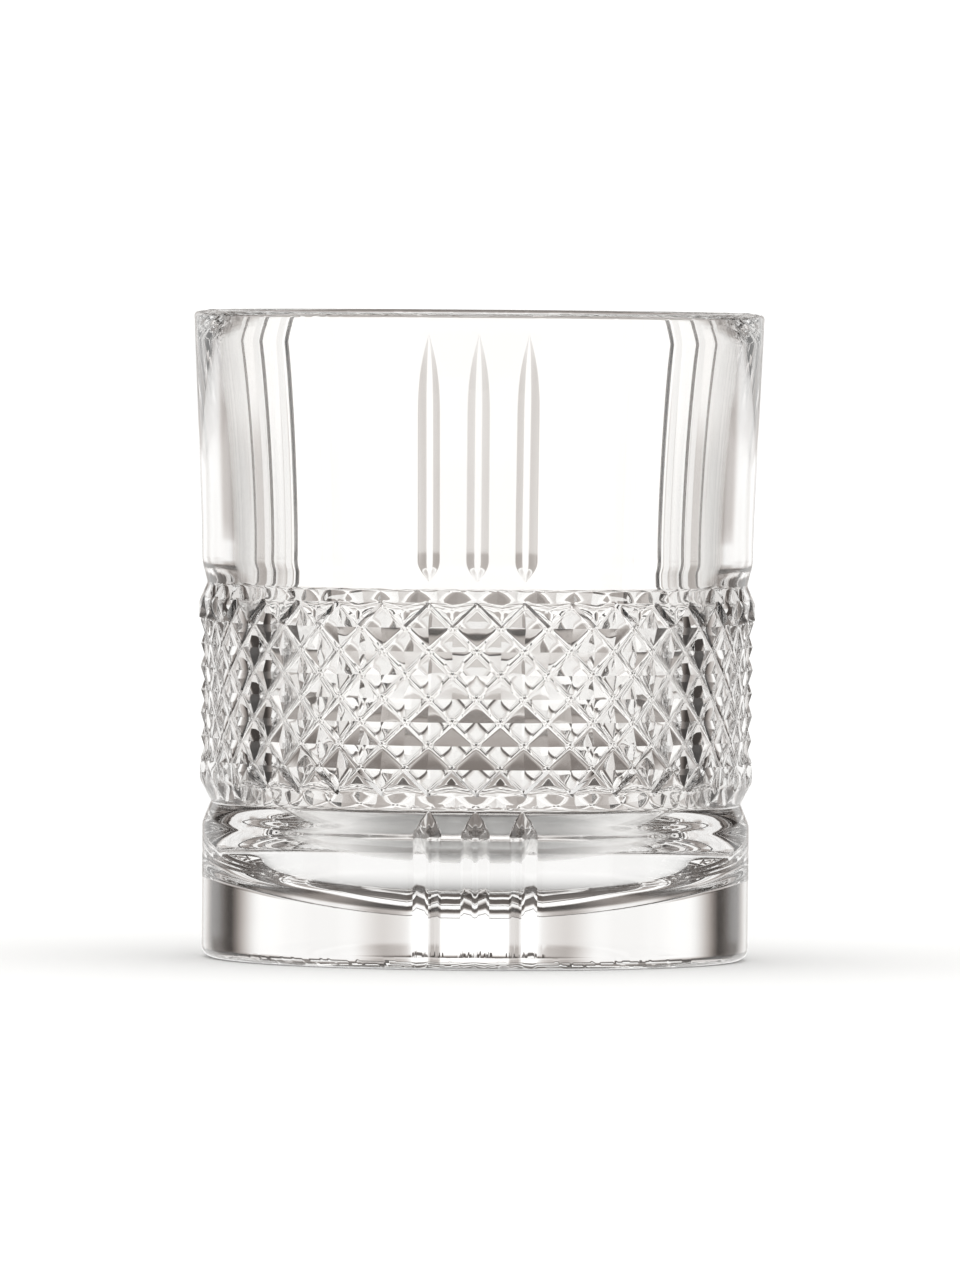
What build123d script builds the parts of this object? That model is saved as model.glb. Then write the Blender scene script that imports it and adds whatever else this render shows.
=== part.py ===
from build123d import *
import os
from math import asin, cos, degrees, radians, sqrt

# Whiskey tumbler: one piece of pressed glass. A heavy foot, a band of raised diamonds between
# two turned necks, a plain wall that flares to a rounded rim, and three groups of three
# upright V flutes cut into the wall above the band and into the foot below it. The inside floor
# is a bowl, so the solid base is thinnest in the middle.
# Millimetres. +Z is up, the origin is the centre of the foot on the surface it stands on,
# and the middle flute of one group faces the front, -Y.

# --- driving dimensions ---
height = 94.0
rim_radius = 41.55
wall_radius = 40.12            # outer wall just above the upper neck
wall_flare_height = 62.5       # where the outer wall starts to flare
rim_round = 0.85

foot_radius = 39.8
foot_top = 19.8                # upper edge of the plain foot
foot_recess = 0.3              # shallow dome under the foot
foot_ring_inner = 33.0         # the foot bears on a flat ring outside this radius
heel_round = 1.8

lower_neck_radius, lower_neck_height = 38.6, 22.7
upper_neck_radius, upper_neck_height = 39.33, 54.5
upper_neck_top = 57.6
neck_round = 0.3

floor_height = 6.2             # middle of the bowl-shaped inside floor
bowl_radius = 75.0             # shallow middle of the bowl
bowl_corner_radius = 15.0      # where the bowl turns up into the inside wall
bore_bottom_radius = 35.0      # inside wall just above the bowl
bore_waist_radius, bore_waist_height = 35.45, 56.0     # where the inside wall starts to flare
bore_middle_radius, bore_middle_height = 36.61, 76.0   # the inside wall follows one arc
bore_lip_radius, bore_lip_height = 39.0, 91.0          # through these two places
bore_rim_radius = 39.65

columns = 36                   # diamonds around the band
row_pitch = 3.378              # height from one row of diamond tips to the next
band_bottom = 25.3             # lowest row line, eight row pitches below the highest
rows = 8
valley_radius = 39.1           # floor of the crossing valleys
tip_radius = 40.08             # tips of the diamonds
tip_half_diagonal = 3.17       # half a diamond's diagonal where it leaves the valley floor
plate_bottom_radius = 40.1     # flat triangles that close the lower edge of the band
plate_top_radius = 40.35       # flat triangles that close the upper edge
plate_gap = 0.4                # from a valley crossing to the tip of a flat triangle
plate_sink = 0.5               # how deep the flat triangles are rooted in the glass
diamond_skirt = 0.35           # how deep a diamond is rooted in the glass
band_edge_rise = 0.53          # slope of the band's lower shoulder, radius over height
band_edge_fall = 0.45          # slope of the band's upper shoulder

flute_groups = 3
flutes_in_group = 3
wall_flute_depth, wall_flute_half_width, wall_flute_strip = 0.58, 1.75, 0.36
wall_flute_full_height = 79.0  # full depth up to here, then fading to a lancet point
wall_flute_tip_height = 91.0
wall_flute_point = 2.5         # the higher, the blunter the point
foot_flute_depth, foot_flute_half_width, foot_flute_strip = 1.33, 2.0, 0.3

# --- derived sizes ---
column_angle = 360 / columns
band_top = band_bottom + rows * row_pitch
wall_slope = (rim_radius - wall_radius) / (height - wall_flare_height)
clear_radius = rim_radius + 2.0         # outside everything, for the cutters
cutter_overlap = 0.5                    # how far a cutter runs past the face it starts from
bowl_middle = floor_height + bowl_radius                # height of the bowl's centre of curvature
corner_middle_radius = bore_bottom_radius - bowl_corner_radius
corner_lean = degrees(asin(corner_middle_radius / (bowl_radius - bowl_corner_radius)))
bowl_top = bowl_middle - (bowl_radius - bowl_corner_radius) * cos(radians(corner_lean))


def wall_radius_at(z):
    """Radius of the plain outer wall above the upper neck."""
    return wall_radius + wall_slope * max(0.0, z - wall_flare_height)


def around(angle, radius, z):
    """A place on the outside at an angle from the front, its local +Y pointing outwards."""
    turn = Location((0, 0, z), (0, 0, angle + 180))
    return turn * Location((0, radius, 0))


def lattice(row_numbers):
    """Angles and heights of the diamonds whose centres lie on the given row lines."""
    centres = []
    for row in row_numbers:
        shift = 0 if row % 2 else column_angle / 2
        for column in range(columns):
            centres.append((column * column_angle + shift, band_bottom + row * row_pitch))
    return centres


# --- one diamond: a low square pyramid on a short skirt that sits in the glass ---
sink = valley_radius * (1 - cos(radians(column_angle / 2)))
rise = tip_radius - valley_radius + sink
side = tip_half_diagonal * sqrt(2)
with BuildPart() as diamond:
    with Locations((0, rise / 2, 0)):
        Wedge(side, rise, side, side / 2, side / 2, side / 2, side / 2, rotation=(0, 45, 0))
    with Locations((0, -diamond_skirt / 2, 0)):
        Box(side, diamond_skirt, side, rotation=(0, 45, 0))

# --- flat triangles that close the band: tip down at its top edge, tip up at its bottom edge ---
plate_root = valley_radius - plate_sink
plate_reach = row_pitch
plate_half_width = valley_radius * radians(column_angle / 2)
with BuildPart() as top_plate:
    with BuildSketch(Plane.XZ):
        with BuildLine():
            Polyline((0, 0), (plate_half_width, plate_reach), (-plate_half_width, plate_reach), close=True)
        make_face()
    extrude(amount=plate_root - plate_top_radius)
with BuildPart() as bottom_plate:
    with BuildSketch(Plane.XZ):
        with BuildLine():
            Polyline((0, 0), (-plate_half_width, -plate_reach), (plate_half_width, -plate_reach), close=True)
        make_face()
    extrude(amount=plate_root - plate_bottom_radius)


# --- V flute cutters with a narrow flat root, drawn towards the front ---
def flute_corners(root, strip, spread):
    """Corners of a flute's cross-section, from its flat root out past the glass."""
    half = strip + (clear_radius - root) * spread
    return [(strip, -root), (half, -clear_radius), (-half, -clear_radius), (-strip, -root)]


wall_flute_spread = (wall_flute_half_width - wall_flute_strip) / wall_flute_depth
fade_length = wall_flute_tip_height - wall_flute_full_height
fade_heights = [wall_flute_full_height + fade_length * share for share in (0.0, 0.35, 0.6, 0.8, 0.92, 1.0)]
least_left = 0.02                       # share of the flute's size at its very tip
with BuildPart() as wall_flute:
    for z in [upper_neck_height - cutter_overlap, wall_flare_height] + fade_heights:
        faded = max(0.0, z - wall_flute_full_height) / fade_length
        left = max(least_left, 1 - faded**wall_flute_point)
        root = wall_radius_at(z) - wall_flute_depth * left
        with BuildSketch(Plane.XY.offset(z)):
            with BuildLine():
                Polyline(*flute_corners(root, wall_flute_strip * left, wall_flute_spread), close=True)
            make_face()
    loft(ruled=True)
foot_flute_spread = (foot_flute_half_width - foot_flute_strip) / foot_flute_depth
foot_flute_root = foot_radius - foot_flute_depth
with BuildPart() as foot_flute:
    with BuildSketch(Plane.XY.offset(-cutter_overlap)):
        with BuildLine():
            Polyline(*flute_corners(foot_flute_root, foot_flute_strip, foot_flute_spread), close=True)
        make_face()
    extrude(amount=lower_neck_height + cutter_overlap)

# --- the glass ---
ledge_below_band, ledge_above_band = 40.0, 40.42       # spare glass that the necks are turned out of
dome_middle_share = 0.75                # height of the dome halfway out, over its height in the middle
with BuildPart() as glass_tumbler:
    # The turned body, with the band left at the depth of its valleys.
    with BuildSketch(Plane.XZ):
        with BuildLine():
            ThreePointArc((0, foot_recess), (foot_ring_inner / 2, foot_recess * dome_middle_share), (foot_ring_inner, 0))
            FilletPolyline(
                (foot_ring_inner, 0),
                (foot_radius, 0),
                (foot_radius, foot_top),
                radius=[heel_round],
            )
            Polyline(
                (foot_radius, foot_top),
                (ledge_below_band, foot_top),
                (ledge_below_band, band_bottom),
                (valley_radius, band_bottom),
                (valley_radius, band_top),
                (ledge_above_band, band_top),
                (ledge_above_band, upper_neck_top),
                (wall_radius, upper_neck_top),
                (wall_radius, wall_flare_height),
            )
            FilletPolyline(
                (wall_radius, wall_flare_height),
                (rim_radius, height),
                (bore_rim_radius, height),
                (bore_lip_radius, bore_lip_height),
                radius=[rim_round, rim_round],
            )
            ThreePointArc(
                (bore_lip_radius, bore_lip_height),
                (bore_middle_radius, bore_middle_height),
                (bore_waist_radius, bore_waist_height),
            )
            Line((bore_waist_radius, bore_waist_height), (bore_bottom_radius, bowl_top))
            CenterArc((corner_middle_radius, bowl_top), bowl_corner_radius, 0, corner_lean - 90)
            Line(CenterArc((0, bowl_middle), bowl_radius, corner_lean - 90, -corner_lean) @ 1, (0, foot_recess))
        make_face()
    revolve(axis=Axis.Z)

    # Diamonds and edge triangles on the band.
    with Locations(*[around(angle, valley_radius - sink, z) for angle, z in lattice(range(1, rows))]):
        add(diamond.part)
    plate_shift = row_pitch - plate_gap
    with Locations(*[around(angle, plate_root, z - plate_shift) for angle, z in lattice([rows])]):
        add(top_plate.part)
    with Locations(*[around(angle, plate_root, z + plate_shift) for angle, z in lattice([0])]):
        add(bottom_plate.part)

    # The two necks: a turned V groove under the wall and another above the foot.
    lower_flank_slope = (foot_radius - lower_neck_radius) / (lower_neck_height - foot_top)
    upper_flank_slope = (wall_radius - upper_neck_radius) / (upper_neck_top - upper_neck_height)
    for neck_radius, neck_height, slope_below, slope_above in (
        (lower_neck_radius, lower_neck_height, lower_flank_slope, band_edge_rise),
        (upper_neck_radius, upper_neck_height, band_edge_fall, upper_flank_slope),
    ):
        reach = clear_radius - neck_radius
        with BuildSketch(Plane.XZ):
            with BuildLine():
                FilletPolyline(
                    (clear_radius, neck_height - reach / slope_below),
                    (neck_radius, neck_height),
                    (clear_radius, neck_height + reach / slope_above),
                    radius=[neck_round],
                )
                Line(
                    (clear_radius, neck_height + reach / slope_above),
                    (clear_radius, neck_height - reach / slope_below),
                )
            make_face()
        revolve(axis=Axis.Z, mode=Mode.SUBTRACT)

    # The flutes, in groups, each in line with a column of diamonds.
    flute_angles = []
    for group in range(flute_groups):
        for place in range(flutes_in_group):
            offset = place - (flutes_in_group - 1) / 2
            flute_angles.append(group * 360 / flute_groups + offset * column_angle)
    with Locations(*[Location((0, 0, 0), (0, 0, angle)) for angle in flute_angles]):
        add(wall_flute.part, mode=Mode.SUBTRACT)
        add(foot_flute.part, mode=Mode.SUBTRACT)

glass_tumbler.part.label = "glass_tumbler"

os.makedirs("parts", exist_ok=True)
export_step(glass_tumbler.part, "parts/glass_tumbler.step")

glass_volume = glass_tumbler.part.volume
print("solids", len(glass_tumbler.part.solids()), "faces", len(glass_tumbler.part.faces()))
print("glass volume", round(glass_volume / 1000, 1), "ml")
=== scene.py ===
"""Looks of the whiskey tumbler: clear pressed glass on a pale table, lit from behind."""

from math import acos, asin, atan, cos, degrees, pi, radians, sin, sqrt

import bpy
import numpy as np
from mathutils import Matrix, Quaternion, Vector


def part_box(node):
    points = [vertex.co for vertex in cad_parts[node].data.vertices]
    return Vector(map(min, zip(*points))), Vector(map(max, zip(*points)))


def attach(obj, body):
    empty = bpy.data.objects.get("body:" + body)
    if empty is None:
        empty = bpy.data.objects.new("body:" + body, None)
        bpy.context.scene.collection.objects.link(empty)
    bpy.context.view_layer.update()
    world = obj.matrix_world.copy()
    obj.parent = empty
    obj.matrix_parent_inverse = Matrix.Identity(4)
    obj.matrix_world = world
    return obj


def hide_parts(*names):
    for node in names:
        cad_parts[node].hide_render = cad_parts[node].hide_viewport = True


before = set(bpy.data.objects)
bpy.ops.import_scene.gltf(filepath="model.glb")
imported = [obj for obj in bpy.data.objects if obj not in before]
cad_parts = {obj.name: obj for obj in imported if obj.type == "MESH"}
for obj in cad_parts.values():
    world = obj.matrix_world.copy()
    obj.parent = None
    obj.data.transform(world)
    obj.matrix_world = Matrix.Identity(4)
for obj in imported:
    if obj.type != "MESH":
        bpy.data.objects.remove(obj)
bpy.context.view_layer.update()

# --- sizes in millimetres, the height and the rim from the frame ---
MM = 0.001
NODE = "glass_tumbler"
low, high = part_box(NODE)
HEIGHT = (high.z - low.z) / MM
RIM_RADIUS = (high.x - low.x) / 2 / MM
RIM_ROUND = 0.85

FOOT_RADIUS = 39.8
FOOT_TOP = 19.8
HEEL_ROUND = 1.8
DOME_RADIUS, DOME_RISE = 33.0, 0.3
BEARING_RADIUS = 36.0                                  # middle of the flat ring it stands on

LOWER_NECK_RADIUS, LOWER_NECK_HEIGHT = 38.6, 22.7
LOWER_FLANK_BELOW, LOWER_FLANK_ABOVE = 0.414, 0.53     # radius gained per height
UPPER_NECK_RADIUS, UPPER_NECK_HEIGHT = 39.33, 54.5
UPPER_FLANK_BELOW, UPPER_FLANK_ABOVE = 0.45, 0.255
NECK_ROUND = 0.08
EDGE_BLEND = 0.25                                      # rounding where two turned faces meet

WALL_RADIUS = 40.12
WALL_EDGE_HEIGHT = 57.7                                # where the upper neck's flank meets the wall
WALL_FLARE_HEIGHT = 62.5
WALL_BLEND = 6.0                                       # height over which the wall starts to flare

FLOOR_HEIGHT = 6.2                                     # middle of the bowl-shaped floor
BOWL_RADIUS, BOWL_CORNER_RADIUS = 75.0, 15.0           # its shallow middle and its turned-up edge
BORE_BOTTOM_RADIUS = 35.0
BORE_WAIST_RADIUS, BORE_WAIST_HEIGHT = 35.45, 56.0
BORE_RIM_RADIUS = 39.65

CORNER_MIDDLE = BORE_BOTTOM_RADIUS - BOWL_CORNER_RADIUS
CORNER_LEAN = asin(CORNER_MIDDLE / (BOWL_RADIUS - BOWL_CORNER_RADIUS))
BOWL_TOP = FLOOR_HEIGHT + BOWL_RADIUS - (BOWL_RADIUS - BOWL_CORNER_RADIUS) * cos(CORNER_LEAN)

COLUMNS = 36                                           # diamonds around the band
HALF_COLUMN = 180.0 / COLUMNS                          # degrees
ROWS = 8                                               # half diamonds up the band
ROW_PITCH = 3.378
BAND_BOTTOM = 25.3
BAND_TOP = BAND_BOTTOM + ROWS * ROW_PITCH
VALLEY_RADIUS = 38.96                                  # where two sloping faces would meet
BAND_TAPER = 0.007                                     # the band widens a little upwards
DIAMOND_RISE = 1.07
VALLEY_ROUND = 0.18                                    # share of the half diamond taken by the rounding
PLATE_BOTTOM_RADIUS, PLATE_TOP_RADIUS = 40.1, 40.35
PLATE_WALL = 0.14

# Flutes: depth, strip (half the flat root) and round in millimetres, spread as half width over depth,
# half (the mesh kept for a flute) and edge (close columns at its edge) in degrees.
FLUTE_GROUPS = 3
WALL_FLUTE = {"depth": 0.58, "spread": 2.4, "strip": 0.36, "round": 0.09, "half": 2.5, "edge": 0.3}
WALL_FLUTE_FULL, WALL_FLUTE_TIP = 79.0, 91.0
WALL_FLUTE_POINT = 2.5                                 # how blunt the lancet tips are
FOOT_FLUTE = {"depth": 1.33, "spread": 1.276, "strip": 0.3, "round": 0.3, "half": 2.9, "edge": 0.55}
FOOT_FLUTE_FULL, FOOT_FLUTE_END = 22.5, 23.1
FLUTE_LEAST = 0.03                                     # share of the flute's width left at its ends
ROOT_BLEND = 0.35                                      # degrees of close columns beside the flat root
SOFT_SHARE, SOFT_LEAST = 0.4, 0.03                     # rounding where a flute runs out

CELLS = 8                                              # mesh cells across half a diamond
FULL = 2 * COLUMNS * CELLS                             # mesh columns around the outside
ROUND_STEPS = 6                                        # rings up a rounded edge
HAIR = 0.01                                            # mm, for comparing heights
SHARP_ANGLE = 15.0                                     # degrees

# --- glass: scales of the noises, per metre, and what they drive ---
GLASS_IOR = 1.52
SKIN_SCALE, SKIN_DETAIL, SKIN_SPOTS = 90.0, 3.0, (0.52, 0.75)
SKIN_ROUGHNESS = 0.006                                 # where the noise is above the second spot level
WAVE_SCALE, WAVE_HEIGHT = 60.0, 0.00001                # the height is in metres
TINT_SCALE, TINT_DETAIL = 30.0, 1.0
WARMER_TINT, CLEARER_TINT = (0.98, 0.975, 0.965, 1), (0.99, 0.985, 0.98, 1)

# --- studio: how strong its parts are, and the angles in degrees between which they fade ---
# "Aside" is the angle away from straight behind the glass, to either side.
BACKDROP, BACKDROP_SIDE, BACKDROP_DIM = 1.18, 1.0, 0.62
BACKDROP_TURN, BACKDROP_FADE, BACKDROP_END = (8, 14), (30, 37), (40, 55)          # aside
STRIP_BELOW, STRIP_ABOVE, STRIP_ASIDE, STRIP_GAIN = (2.4, 4.5), (3, 9), (14, 20), 1.2
DIP, DIP_TOP = 0.28, 0.55
DIP_BELOW, DIP_RISE, DIP_START, DIP_END = (6, 10), (1, 4), (7, 11), (13, 19)
SIDE_LIGHT, SIDE_GAP = 1.02, 0.4
SIDE_START, SIDE_END, FRONT_START, FRONT_END = (66, 82), (100, 108), (116, 124), (148, 156)
GAP, GAP_ABOVE = 0.08, (8, 10.5)
OVERHEAD, OVERHEAD_ABOVE = 0.95, (13, 16)
OVERHEAD_SIDE, OVERHEAD_ASIDE = 0.45, (26, 38)
CEILING, CEILING_SIDE, CEILING_ABOVE = 0.1, 0.3, (24, 32)
MIDDLE_ASIDE = (15, 26)                                # the part of the room behind the glass
TABLE_LIT, TABLE_LIT_BELOW = 0.85, (9, 18)
TABLE_DIM, TABLE_DIM_BELOW = 0.38, (16, 21)
TABLE_DARK, TABLE_DARK_BELOW = 0.5, (25, 33)
ROOM, STUDIO = 0.04, 1.25
DIM_COLOUR, LIT_COLOUR = (1.0, 0.86, 0.78, 1), (1.0, 0.997, 0.99, 1)

TABLE_SIZE, TABLE_GAP = 40.0, 0.00005                  # metres
TABLE_COLOUR = (0.9, 0.9, 0.895, 1)
PAINTED_SHADE_UNDER_MIDDLE, PAINTED_LIGHT_UNDER_EDGE = 0.32, 1.12                  # painted light on the table under the foot: a glow, dimmer in the middle as painted shade
SHADE_MIDDLE, SHADE_EDGE = 12.0, 30.0                  # millimetres from the axis, where the painted shade gives way to painted light

# --- camera, in millimetres ---
LENS, SENSOR = 464.5, 36.0
CAMERA_DISTANCE, CAMERA_HEIGHT = 2400.0, 111.0
AIM_SIDE, AIM_HEIGHT = 0.44, 46.25
CAMERA_ROLL = 0.45                                     # degrees


# --- the outside: radius in mm at an angle (degrees from the front) and a height ---
def smooth_min(a, b, width):
    blend = np.clip(width - np.abs(a - b), 0, None)
    return np.minimum(a, b) - blend * blend / (4 * width)


def neck_radius(z, radius, height, below, above):
    """Radius of a turned V neck with a rounded root."""
    away = z - height
    slope = np.where(away < 0, below, above)
    return radius + slope * (np.sqrt(away * away + NECK_ROUND**2) - NECK_ROUND)


def wall_radius(z):
    """The plain wall: upright above the neck, then flaring evenly to the rim."""
    slope = (RIM_RADIUS - WALL_RADIUS) / (HEIGHT - RIM_ROUND - WALL_FLARE_HEIGHT)
    away = z - WALL_FLARE_HEIGHT
    return WALL_RADIUS + slope * (away + np.sqrt(away * away + (WALL_BLEND / 2) ** 2)) / 2


def band_radius(angle, z):
    """Pyramids between crossing rounded valleys, closed top and bottom by flat triangles."""
    u = angle / HALF_COLUMN
    v = np.clip((z - BAND_BOTTOM) / ROW_PITCH, 0, ROWS - 1e-6)
    column, row = np.floor(u + 1e-9), np.floor(v)
    rising = (column + row) % 2 == 0
    x = np.where(rising, (u - column) - (v - row), (u - column) + (v - row) - 1)
    away = np.abs(x)
    rounded = np.where(away < VALLEY_ROUND, away**2 / (2 * VALLEY_ROUND) + VALLEY_ROUND / 2, away)
    valley = VALLEY_RADIUS + BAND_TAPER * (z - BAND_BOTTOM)
    radius = valley + DIAMOND_RISE * rounded
    # The flat triangles hang from the columns whose diamonds would be centred on the band's edge.
    from_edge_column = (u + 1) % 2 - 1
    flat = np.cos(np.radians(from_edge_column * HALF_COLUMN))
    step = np.clip(away / PLATE_WALL, 0, 1)
    step = step * step * (3 - 2 * step)
    floor = valley + DIAMOND_RISE * VALLEY_ROUND / 2
    on_top = (row == ROWS - 1) & np.where(rising, x < 0, x > 0)
    on_bottom = (row == 0) & np.where(rising, x > 0, x < 0)
    top_plate = floor + (PLATE_TOP_RADIUS / flat - floor) * step
    bottom_plate = floor + (PLATE_BOTTOM_RADIUS / flat - floor) * step
    return np.where(on_top, top_plate, np.where(on_bottom, bottom_plate, radius))


def heel_inset(z):
    """How far the rounded heel draws the foot in at a height."""
    drop = max(0.0, HEEL_ROUND - z)
    return HEEL_ROUND - sqrt(HEEL_ROUND**2 - drop**2)


def plain_radius(angle, z):
    """The outside without its flutes and its rounded heel."""
    lower = neck_radius(z, LOWER_NECK_RADIUS, LOWER_NECK_HEIGHT, LOWER_FLANK_BELOW, LOWER_FLANK_ABOVE)
    upper = neck_radius(z, UPPER_NECK_RADIUS, UPPER_NECK_HEIGHT, UPPER_FLANK_BELOW, UPPER_FLANK_ABOVE)
    if z < LOWER_NECK_HEIGHT:
        return smooth_min(np.full_like(angle, FOOT_RADIUS), lower, EDGE_BLEND)
    if z > UPPER_NECK_HEIGHT:
        return smooth_min(np.full_like(angle, wall_radius(z)), upper, EDGE_BLEND)
    if BAND_BOTTOM - HAIR < z < BAND_TOP + HAIR:
        body = band_radius(angle, z)
    else:
        body = np.full_like(angle, PLATE_TOP_RADIUS)
    return smooth_min(smooth_min(body, lower, EDGE_BLEND), upper, EDGE_BLEND)


def flute_at(z):
    """(flute shape, how much of it is left) at a height, or None between the flutes."""
    if z <= FOOT_FLUTE_END:
        return FOOT_FLUTE, min(1.0, (FOOT_FLUTE_END - z) / (FOOT_FLUTE_END - FOOT_FLUTE_FULL))
    if z >= UPPER_NECK_HEIGHT:
        rise = np.clip((z - WALL_FLUTE_FULL) / (WALL_FLUTE_TIP - WALL_FLUTE_FULL), 0, 1)
        return WALL_FLUTE, 1.0 - float(rise) ** WALL_FLUTE_POINT
    return None


def outer_ring(z):
    """One ring of the outside: columns slide sideways so that some follow the flutes' edges."""
    angle = np.arange(FULL) * 360.0 / FULL
    found = flute_at(z)
    plain = plain_radius(angle, z)
    inset = heel_inset(z)
    if found is None:
        return ring(angle, plain, z)
    flute, left = found
    in_column = (angle + HALF_COLUMN) % (2 * HALF_COLUMN) - HALF_COLUMN
    column = np.round((angle - in_column) / (2 * HALF_COLUMN)).astype(int) % COLUMNS
    in_group = (column + 1) % (COLUMNS // FLUTE_GROUPS) <= 2
    uncut = FOOT_RADIUS if flute is FOOT_FLUTE else float(wall_radius(z))
    root = uncut - flute["depth"] * left
    strip = flute["strip"] * min(max((float(plain[0]) - root) / flute["depth"], 0.0), 1.0)
    vee = root - strip / flute["spread"]
    lean = atan(1 / flute["spread"])
    meets = degrees(acos(min(1.0, cos(lean) * vee / float(plain[0])))) - degrees(lean)
    share = max(meets / flute["half"], FLUTE_LEAST)
    inner = degrees(flute["strip"] / FOOT_RADIUS)
    edge = flute["edge"]
    knots = np.array([0, inner, inner + ROOT_BLEND, flute["half"] - edge, flute["half"] - edge / 3,
                      flute["half"] + edge / 3, flute["half"] + edge])
    knots = np.concatenate([knots * min(share, 1.0), [0.0, HALF_COLUMN]])
    knots[-2] = (knots[-3] + HALF_COLUMN) / 2
    moved = np.sign(in_column) * np.interp(np.abs(in_column), np.linspace(0, HALF_COLUMN, CELLS + 1), knots)
    turned = np.radians(np.where(in_group, moved, in_column))
    face = vee / (np.cos(turned) - np.abs(np.sin(turned)) / flute["spread"])
    soft = min(flute["round"], max(SOFT_SHARE * (float(plain[0]) - root), SOFT_LEAST))
    cut = -smooth_min(-face, -root / np.cos(turned), soft)
    radius = np.where(in_group, smooth_min(plain, cut, soft), plain)
    return ring(angle - in_column + np.degrees(turned), radius - inset, z)


def ring(angle, radius, z):
    """Ring of points; the angle is counted from the front, -Y."""
    turn = np.radians(angle)
    return np.stack([radius * np.sin(turn), -radius * np.cos(turn), np.full_like(turn, z)], axis=1)


def plain_ring(count, radius, z):
    return ring(np.arange(count) * 360.0 / count, np.full(count, float(radius)), z)


# --- heights of the rings ---
def steps(start, end, count):
    """Heights from start up to but not including end."""
    return [start + (end - start) * i / count for i in range(count)]


def around(height, reach):
    """Heights just below and just above a place that needs close rings."""
    return height - reach, height + reach


def outer_heights():
    foot_edge = around(FOOT_TOP, 0.8)
    lower_root = around(LOWER_NECK_HEIGHT, 0.6)
    upper_root = around(UPPER_NECK_HEIGHT, 0.4)
    wall_edge = around(WALL_EDGE_HEIGHT, 0.7)
    above_band = BAND_TOP + 0.7
    above_flutes = WALL_FLUTE_TIP + 0.2
    heights = [HEEL_ROUND * (1 - cos(radians(90 / ROUND_STEPS * i))) for i in range(ROUND_STEPS)]
    heights += [HEEL_ROUND] + steps(4.0, foot_edge[0], 4) + steps(*foot_edge, 8)
    heights += steps(foot_edge[1], lower_root[0], 3) + steps(*lower_root, 6)
    heights += steps(lower_root[1], BAND_BOTTOM, 4)
    heights += steps(BAND_BOTTOM, BAND_TOP, ROWS * CELLS) + [BAND_TOP]
    heights += [BAND_TOP + 0.3] + steps(above_band, upper_root[0], 3) + steps(*upper_root, 4)
    heights += steps(upper_root[1], wall_edge[0], 6) + steps(*wall_edge, 7)
    heights += steps(wall_edge[1], WALL_FLUTE_FULL, 8) + steps(WALL_FLUTE_FULL, above_flutes, 10)
    return heights + steps(above_flutes, HEIGHT - RIM_ROUND, 2)


def bore_radius(z):
    """Inside wall: nearly upright below the waist, then an arc out to the rim."""
    if z < BORE_WAIST_HEIGHT:
        share = (z - BOWL_TOP) / (BORE_WAIST_HEIGHT - BOWL_TOP)
        return BORE_BOTTOM_RADIUS + (BORE_WAIST_RADIUS - BORE_BOTTOM_RADIUS) * share
    share = (z - BORE_WAIST_HEIGHT) / (HEIGHT - BORE_WAIST_HEIGHT)
    return BORE_WAIST_RADIUS + (BORE_RIM_RADIUS - BORE_WAIST_RADIUS) * share**2


def all_rings():
    """Every ring from the middle of the underside, up the outside, over the rim and down inside."""
    rings = []
    half = FULL // 2
    dome = ((half // 8, 3.0), (half // 4, 8.0), (half // 2, 16.0), (half, 26.0), (half, DOME_RADIUS - 1.0))
    for count, radius in dome:
        rings.append(plain_ring(count, radius, DOME_RISE * (1 - (radius / DOME_RADIUS) ** 2)))
    rings.append(plain_ring(half, DOME_RADIUS, 0.0))
    rings.append(plain_ring(half, BEARING_RADIUS, 0.0))
    for z in outer_heights():
        rings.append(outer_ring(z))
    for i in range(ROUND_STEPS + 1):
        turn = radians(90 / ROUND_STEPS * i)
        rings.append(plain_ring(FULL, RIM_RADIUS - RIM_ROUND * (1 - cos(turn)),
                                HEIGHT - RIM_ROUND * (1 - sin(turn))))
    for i in range(ROUND_STEPS + 1):
        turn = radians(90 / ROUND_STEPS * i)
        rings.append(plain_ring(half, BORE_RIM_RADIUS + RIM_ROUND * (1 - sin(turn)),
                                HEIGHT - RIM_ROUND * (1 - cos(turn))))
    for z in np.linspace(HEIGHT - RIM_ROUND - 1.0, BORE_WAIST_HEIGHT, 16):
        rings.append(plain_ring(half, bore_radius(z), z))
    for z in np.linspace(BORE_WAIST_HEIGHT, BOWL_TOP, 5)[1:]:
        rings.append(plain_ring(half, bore_radius(z), z))
    for turn in np.linspace(0, pi / 2 - CORNER_LEAN, 15)[1:]:
        radius = CORNER_MIDDLE + BOWL_CORNER_RADIUS * cos(turn)
        rings.append(plain_ring(half, radius, BOWL_TOP - BOWL_CORNER_RADIUS * sin(turn)))
    for turn in np.linspace(CORNER_LEAN, 0, 11)[1:-1]:
        radius = BOWL_RADIUS * sin(turn)
        count = half
        for limit in (18.0, 9.0, 4.5):
            if radius <= limit:
                count //= 2
        rings.append(plain_ring(count, radius, FLOOR_HEIGHT + BOWL_RADIUS * (1 - cos(turn))))
    return rings


def diagonal_up(z, column_cell):
    """In the band each cell is split along the direction of the valley that crosses it."""
    v = (z - BAND_BOTTOM) / ROW_PITCH
    if not 0 <= v < ROWS:
        return np.zeros(len(column_cell), bool)
    return (column_cell // CELLS + int(v)) % 2 == 0


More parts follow.
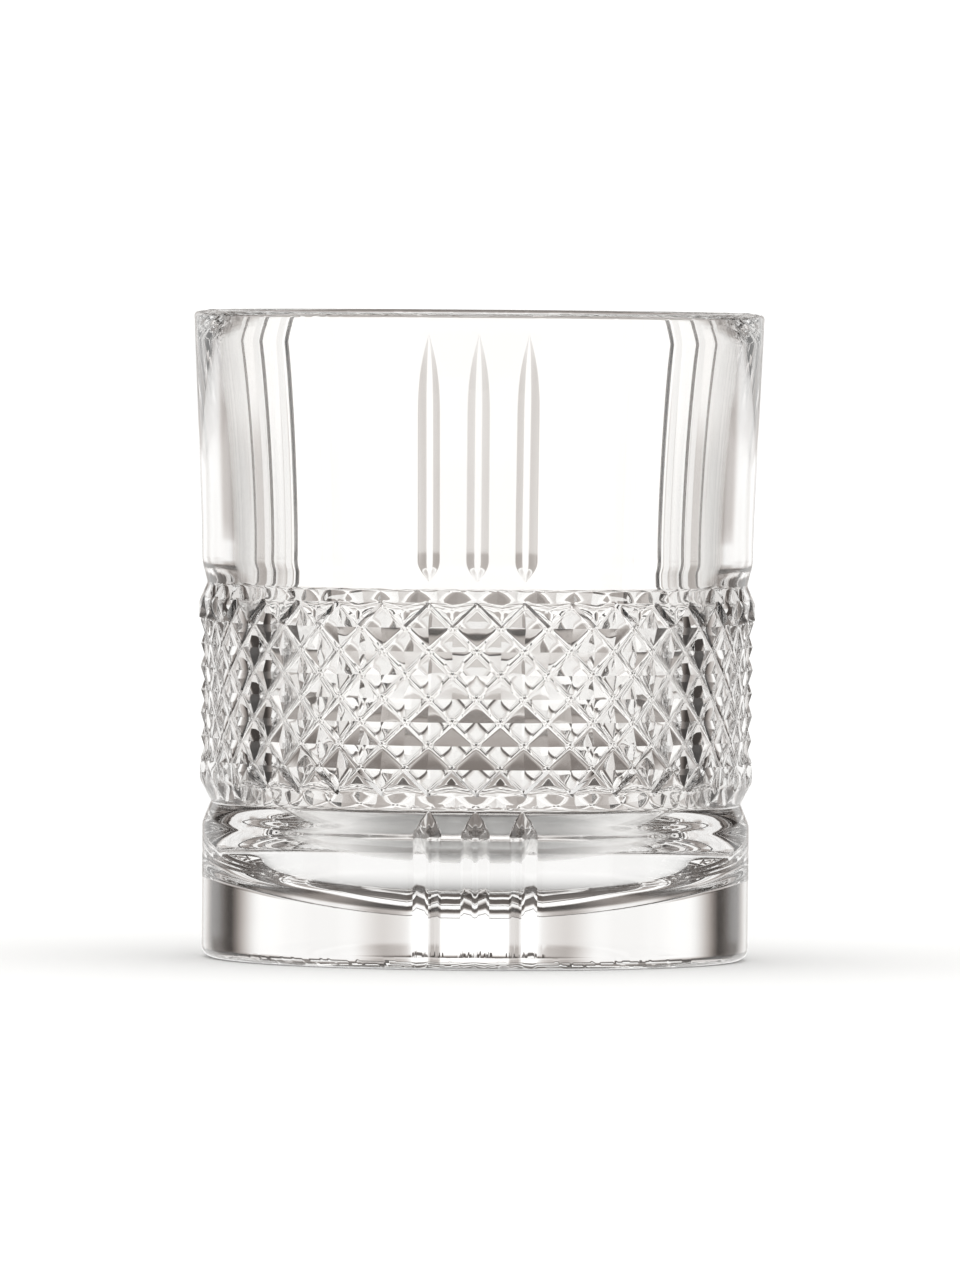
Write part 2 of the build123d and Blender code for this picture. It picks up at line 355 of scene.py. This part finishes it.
def stitch(rings):
    """Faces between the rings. A ring may have half or twice the points of the next one."""
    starts = np.cumsum([0] + [len(r) for r in rings])
    faces = []
    centre = starts[-1]
    first = len(rings[0])
    faces += [(centre, (i + 1) % first, i) for i in range(first)]
    for lower, upper, a, b in zip(rings, rings[1:], starts, starts[1:]):
        n, m = len(lower), len(upper)
        if n == m:
            up = diagonal_up(float(lower[0][2] + upper[0][2]) / 2, np.arange(n))
            for i in range(n):
                j = (i + 1) % n
                if n == FULL:
                    if up[i]:
                        faces += [(a + i, a + j, b + j), (a + i, b + j, b + i)]
                    else:
                        faces += [(a + i, a + j, b + i), (a + j, b + j, b + i)]
                else:
                    faces.append((a + i, a + j, b + j, b + i))
        elif m == 2 * n:
            for i in range(n):
                j = (i + 1) % n
                k = 2 * i
                faces += [(a + i, b + k + 1, b + k), (a + i, a + j, b + k + 1)]
                faces.append((a + j, b + (k + 2) % m, b + k + 1))
        else:
            for i in range(m):
                j = (i + 1) % m
                k = 2 * i
                faces += [(a + k, a + k + 1, b + i), (a + k + 1, b + j, b + i)]
                faces.append((a + k + 1, a + (k + 2) % n, b + j))
    last = len(rings[-1])
    base = starts[-2]
    faces += [(centre + 1, base + i, base + (i + 1) % last) for i in range(last)]
    points = np.concatenate(rings + [np.array([[0, 0, DOME_RISE], [0, 0, FLOOR_HEIGHT]])])
    return points * MM, faces


def make_glass():
    points, faces = stitch(all_rings())
    mesh = bpy.data.meshes.new("tumbler_glass")
    mesh.from_pydata(points.tolist(), [], faces)
    mesh.validate()
    mesh.shade_smooth()
    mesh.set_sharp_from_angle(angle=radians(SHARP_ANGLE))
    glass = bpy.data.objects.new("tumbler_glass", mesh)
    bpy.context.scene.collection.objects.link(glass)
    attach(glass, "root")
    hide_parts(NODE)
    return glass


# --- nodes ---
def math_node(nodes, links, operation, *inputs):
    node = nodes.new("ShaderNodeMath")
    node.operation = operation
    for socket, value in zip(node.inputs, inputs):
        if isinstance(value, (int, float)):
            socket.default_value = value
        else:
            links.new(value, socket)
    return node.outputs[0]


def fade(nodes, links, value, start, end, at_start, at_end):
    """Smooth step of a value from at_start to at_end between two limits."""
    node = nodes.new("ShaderNodeMapRange")
    node.interpolation_type = "SMOOTHSTEP"
    for name, number in (("From Min", start), ("From Max", end), ("To Min", at_start), ("To Max", at_end)):
        node.inputs[name].default_value = number
    links.new(value, node.inputs["Value"])
    return node.outputs["Result"]


def mix_colours(nodes, links, share, at_none, at_all):
    """One colour where the share is 0, the other where it is 1."""
    node = nodes.new("ShaderNodeMix")
    node.data_type = "RGBA"
    links.new(share, node.inputs[0])
    node.inputs[6].default_value = at_none
    node.inputs[7].default_value = at_all
    return node.outputs[2]


# --- materials ---
def new_material(name):
    material = bpy.data.materials.new(name)
    material.use_nodes = True
    nodes, links = material.node_tree.nodes, material.node_tree.links
    return material, nodes["Principled BSDF"], nodes, links


def glass_material():
    material, shader, nodes, links = new_material("clear_pressed_glass")
    shader.inputs["IOR"].default_value = GLASS_IOR
    shader.inputs["Transmission Weight"].default_value = 1.0
    place = nodes.new("ShaderNodeTexCoord")

    def noise(scale, detail):
        texture = nodes.new("ShaderNodeTexNoise")
        texture.inputs["Scale"].default_value = scale
        texture.inputs["Detail"].default_value = detail
        links.new(place.outputs["Object"], texture.inputs["Vector"])
        return texture.outputs["Fac"]

    # Fire-polished skin: here and there very slightly softer than a mirror.
    soft_spots = fade(nodes, links, noise(SKIN_SCALE, SKIN_DETAIL), *SKIN_SPOTS, 0.0, SKIN_ROUGHNESS)
    links.new(soft_spots, shader.inputs["Roughness"])
    # Slow waves left by the mould, too shallow to see except in what they bend.
    waves = nodes.new("ShaderNodeBump")
    waves.inputs["Distance"].default_value = WAVE_HEIGHT
    waves.inputs["Strength"].default_value = 1.0
    links.new(noise(WAVE_SCALE, 0.0), waves.inputs["Height"])
    links.new(waves.outputs["Normal"], shader.inputs["Normal"])
    # The faint warmth of the glass drifts a little through the piece.
    tint = mix_colours(nodes, links, noise(TINT_SCALE, TINT_DETAIL), WARMER_TINT, CLEARER_TINT)
    links.new(tint, shader.inputs["Base Color"])
    return material


def table_material():
    """White table. Through the glass only the part under the foot shows, as a glowing patch of painted light
    with painted shade in its middle; the rest is the studio's.
    """
    material, shader, nodes, links = new_material("pale_table")
    nodes.remove(shader)
    matte = nodes.new("ShaderNodeBsdfDiffuse")
    matte.inputs["Color"].default_value = TABLE_COLOUR
    place = nodes.new("ShaderNodeNewGeometry")
    length = nodes.new("ShaderNodeVectorMath")
    length.operation = "LENGTH"
    links.new(place.outputs["Position"], length.inputs[0])
    from_axis = length.outputs["Value"]
    # Painted light: under the foot the table glows, as painted shade near the axis and painted light towards
    # the foot's edge.
    lit = nodes.new("ShaderNodeEmission")
    lit.inputs["Color"].default_value = TABLE_COLOUR
    light = fade(nodes, links, from_axis, SHADE_MIDDLE * MM, SHADE_EDGE * MM, PAINTED_SHADE_UNDER_MIDDLE, PAINTED_LIGHT_UNDER_EDGE)
    links.new(light, lit.inputs["Strength"])
    clear = nodes.new("ShaderNodeBsdfTransparent")
    edge = (FOOT_RADIUS - 1.0) * MM
    outside = fade(nodes, links, from_axis, edge, edge + MM, 0.0, 1.0)
    through = nodes.new("ShaderNodeMixShader")
    links.new(outside, through.inputs[0])
    links.new(lit.outputs[0], through.inputs[1])
    links.new(clear.outputs[0], through.inputs[2])
    path = nodes.new("ShaderNodeLightPath")
    mix = nodes.new("ShaderNodeMixShader")
    links.new(path.outputs["Is Camera Ray"], mix.inputs[0])
    links.new(through.outputs[0], mix.inputs[1])
    links.new(matte.outputs[0], mix.inputs[2])
    links.new(mix.outputs[0], nodes["Material Output"].inputs["Surface"])
    return material


# --- stage, light and camera ---
def make_table():
    mesh = bpy.data.meshes.new("table")
    corners = [(x * TABLE_SIZE, y * TABLE_SIZE, -TABLE_GAP) for x, y in ((-1, -1), (1, -1), (1, 1), (-1, 1))]
    mesh.from_pydata(corners, [], [(0, 1, 2, 3)])
    table = bpy.data.objects.new("table", mesh)
    bpy.context.scene.collection.objects.link(table)
    table.data.materials.append(table_material())


def make_world():
    """Soft white studio. Seen through the glass it is a lit backdrop and dark surroundings."""
    world = bpy.data.worlds.new("studio")
    bpy.context.scene.world = world
    world.use_nodes = True
    nodes, links = world.node_tree.nodes, world.node_tree.links
    background = nodes["Background"]
    coordinates = nodes.new("ShaderNodeTexCoord")
    split = nodes.new("ShaderNodeSeparateXYZ")
    links.new(coordinates.outputs["Generated"], split.inputs[0])

    def calc(operation, *inputs):
        return math_node(nodes, links, operation, *inputs)

    def product(first, *others):
        for other in others:
            first = calc("MULTIPLY", first, other)
        return first

    def ramp(value, limits, at_start, at_end):
        return fade(nodes, links, value, *limits, at_start, at_end)

    def toned(share, value):
        """The value where the share is 1, and plain 1 where the share is 0."""
        return calc("SUBTRACT", 1.0, calc("MULTIPLY", share, calc("SUBTRACT", 1.0, value)))

    to_degrees = 180 / pi
    azimuth = calc("MULTIPLY", calc("ARCTAN2", split.outputs[0], split.outputs[1]), to_degrees)
    aside = calc("ABSOLUTE", azimuth)
    elevation = calc("MULTIPLY", calc("ARCSINE", split.outputs[2]), to_degrees)
    below = calc("MULTIPLY", elevation, -1.0)

    # The backdrop: brightest in its middle and in a strip along the horizon, dimmer towards its
    # sides, with a shallow dip at each side of the middle.
    strip = product(ramp(below, STRIP_BELOW, 1.0, 0.0), ramp(elevation, STRIP_ABOVE, 1.0, 0.0),
                    ramp(aside, STRIP_ASIDE, 0.0, STRIP_GAIN))
    even = toned(calc("SUBTRACT", 1.0, strip), ramp(aside, BACKDROP_FADE, 1.0, BACKDROP_DIM))
    dip = product(ramp(below, DIP_BELOW, 1.0, 0.0), ramp(elevation, DIP_RISE, DIP, DIP_TOP),
                  ramp(aside, DIP_START, 0.0, 1.0), ramp(aside, DIP_END, 1.0, 0.0))
    behind = calc("SUBTRACT", ramp(aside, BACKDROP_TURN, BACKDROP, BACKDROP_SIDE), dip)
    behind = product(behind, even, ramp(aside, BACKDROP_END, 1.0, 0.0))
    # Light from the sides and from the front corners, the lit table, and what the room itself gives.
    beside = product(ramp(aside, SIDE_START, 0.0, SIDE_LIGHT), ramp(aside, SIDE_END, 1.0, SIDE_GAP))
    front = product(ramp(aside, FRONT_START, 0.0, SIDE_LIGHT), ramp(aside, FRONT_END, 1.0, SIDE_GAP))
    surroundings = ROOM
    for light in (behind, beside, front, ramp(below, TABLE_LIT_BELOW, 0.0, TABLE_LIT)):
        surroundings = calc("MAXIMUM", light, surroundings)
    # Above the backdrop comes a dark gap, then an overhead light, then the ceiling.
    middle = ramp(aside, MIDDLE_ASIDE, 1.0, 0.0)
    overhead = product(ramp(elevation, OVERHEAD_ABOVE, 0.0, OVERHEAD),
                       ramp(aside, OVERHEAD_ASIDE, 1.0, OVERHEAD_SIDE))
    upper = calc("MAXIMUM", ramp(elevation, GAP_ABOVE, 1.0, GAP), overhead)
    ceiling = calc("ADD", CEILING_SIDE, calc("MULTIPLY", middle, CEILING - CEILING_SIDE))
    upper = product(upper, toned(ramp(elevation, CEILING_ABOVE, 0.0, 1.0), ceiling))
    # The table in front of the backdrop is darker than at its sides.
    lower = product(ramp(below, TABLE_DIM_BELOW, 1.0, TABLE_DIM),
                    ramp(below, TABLE_DARK_BELOW, 1.0, TABLE_DARK))
    pattern = product(surroundings, upper, toned(middle, lower))

    # Rays that went through or off the glass see the pattern; the rest see an even white.
    path = nodes.new("ShaderNodeLightPath")
    bent = calc("MAXIMUM", path.outputs["Is Transmission Ray"], path.outputs["Is Glossy Ray"])
    straight = calc("SUBTRACT", 1.0, bent)
    total = calc("ADD", product(bent, pattern), product(straight, STUDIO))
    links.new(total, background.inputs["Strength"])
    links.new(mix_colours(nodes, links, total, DIM_COLOUR, LIT_COLOUR), background.inputs["Color"])


def make_camera():
    """Long lens a little above the rim, rolled by under half a degree."""
    data = bpy.data.cameras.new("camera")
    data.sensor_fit = "VERTICAL"
    data.sensor_height = SENSOR
    data.lens = LENS
    data.clip_end = 100.0
    camera = bpy.data.objects.new("camera", data)
    bpy.context.scene.collection.objects.link(camera)
    camera.location = Vector((AIM_SIDE, -CAMERA_DISTANCE, CAMERA_HEIGHT)) * MM
    target = Vector((AIM_SIDE, 0.0, AIM_HEIGHT)) * MM
    aim = (target - camera.location).to_track_quat("-Z", "Y")
    roll = Quaternion((0, 0, 1), radians(CAMERA_ROLL))
    camera.rotation_mode = "QUATERNION"
    camera.rotation_quaternion = aim @ roll
    bpy.context.scene.camera = camera


def set_look():
    scene = bpy.context.scene
    scene.view_settings.view_transform = "Standard"
    scene.cycles.max_bounces = 24
    scene.cycles.transmission_bounces = 24
    scene.cycles.glossy_bounces = 12
    scene.cycles.diffuse_bounces = 3
    scene.cycles.use_denoising = True


glass = make_glass()
glass.data.materials.append(glass_material())
make_table()
make_world()
make_camera()
set_look()

bpy.context.view_layer.update()
